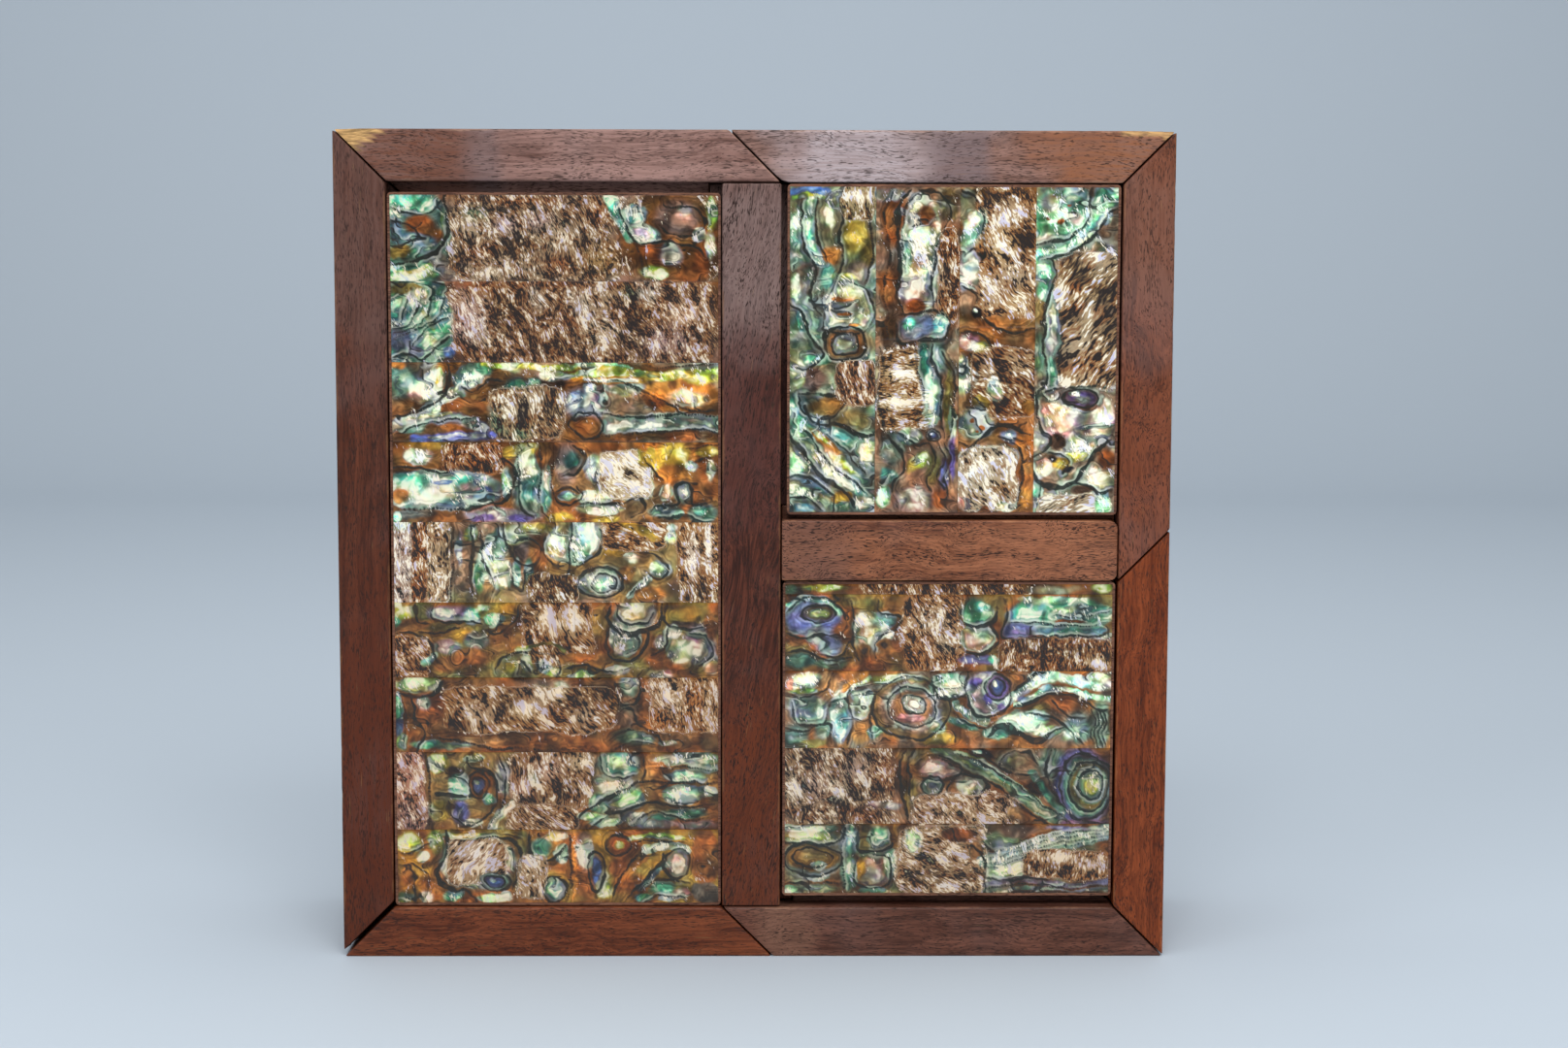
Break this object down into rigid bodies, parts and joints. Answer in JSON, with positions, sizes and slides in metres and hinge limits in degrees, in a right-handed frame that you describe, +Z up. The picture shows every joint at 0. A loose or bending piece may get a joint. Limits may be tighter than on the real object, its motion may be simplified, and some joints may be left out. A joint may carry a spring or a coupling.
{
  "type": "shell box",
  "caption": "Shallow square wooden box with loose lids faced in strips of cut paua shell, divided inside into a tall and two square compartments.",
  "frame": {"origin": "middle of the footprint, on the surface it stands on, with the box upright on one long edge as in the picture", "axes": "+Z up, +X to the right as the shell-faced lids are seen, +Y to the back, so the lids face -Y and the flat back board faces +Y"},
  "size_m": [0.2032, 0.0636, 0.2032],
  "materials": {
    "dark_red_wood": "dark red-brown hardwood, rubbed varnish, fine dark pores",
    "brown_wood": "brown-mauve hardwood, rubbed varnish, bare tan wood where chipped",
    "grey_brown_wood": "grey-brown hardwood, worn varnish",
    "orange_brown_wood": "orange-brown hardwood with wavy figure, rubbed varnish",
    "dark_purple_wood": "dark purple-brown hardwood, curved grain, rubbed varnish",
    "back_wood": "plain brown wood, thin varnish",
    "lid_wood": "brown wood, thin rim round the shell",
    "rust_shell": "polished paua shell, rust-brown with silver flakes",
    "aqua_shell": "polished paua shell, teal and aqua nacre",
    "silver_shell": "polished paua shell, silver and lilac nacre",
    "lime_shell": "polished paua shell, lime and amber nacre"
  },
  "bodies": {
    "root": {"back_board": "back_wood", "bottom_wall_left": "orange_brown_wood", "bottom_wall_right": "grey_brown_wood", "cross_partition": "orange_brown_wood", "left_wall": "dark_red_wood", "lower_lid_board": "lid_wood", "lower_lid_shell_1_1": "silver_shell", "lower_lid_shell_2_1": "lime_shell", "lower_lid_shell_2_2": "rust_shell", "lower_lid_shell_3_1": "rust_shell", "lower_lid_shell_3_2": "aqua_shell", "lower_lid_shell_4_1": "aqua_shell", "lower_lid_shell_4_2": "silver_shell", "lower_lid_shell_5_1": "silver_shell", "lower_lid_shell_5_2": "lime_shell", "lower_lid_shell_5_3": "rust_shell", "right_wall_lower": "orange_brown_wood", "right_wall_upper": "orange_brown_wood", "tall_lid_board": "lid_wood", "tall_lid_shell_1_1": "silver_shell", "tall_lid_shell_1_2": "lime_shell", "tall_lid_shell_1_3": "rust_shell", "tall_lid_shell_2_1": "lime_shell", "tall_lid_shell_2_2": "rust_shell", "tall_lid_shell_3_1": "rust_shell", "tall_lid_shell_3_2": "aqua_shell", "tall_lid_shell_4_1": "aqua_shell", "tall_lid_shell_4_2": "silver_shell", "tall_lid_shell_5_1": "silver_shell", "tall_lid_shell_5_2": "lime_shell", "tall_lid_shell_5_3": "rust_shell", "tall_lid_shell_5_4": "aqua_shell", "tall_lid_shell_5_5": "silver_shell", "tall_lid_shell_6_1": "lime_shell", "tall_lid_shell_6_2": "rust_shell", "tall_lid_shell_6_3": "aqua_shell", "tall_lid_shell_6_4": "silver_shell", "tall_lid_shell_7_1": "rust_shell", "tall_lid_shell_7_2": "aqua_shell", "tall_lid_shell_8_1": "aqua_shell", "tall_lid_shell_8_2": "silver_shell", "tall_lid_shell_8_3": "lime_shell", "tall_lid_shell_8_4": "rust_shell", "tall_lid_shell_9_1": "silver_shell", "tall_lid_shell_9_2": "lime_shell", "tall_lid_shell_9_3": "rust_shell", "tall_lid_shell_9_4": "aqua_shell", "tall_lid_shell_9_5": "silver_shell", "top_wall_left": "brown_wood", "top_wall_right": "grey_brown_wood", "upper_lid_board": "lid_wood", "upper_lid_shell_1_1": "silver_shell", "upper_lid_shell_1_2": "lime_shell", "upper_lid_shell_2_1": "lime_shell", "upper_lid_shell_2_2": "rust_shell", "upper_lid_shell_3_1": "rust_shell", "upper_lid_shell_3_2": "aqua_shell", "upper_lid_shell_4_1": "aqua_shell", "upper_lid_shell_4_2": "silver_shell", "upright_partition": "dark_purple_wood"}
  },
  "joints": []
}
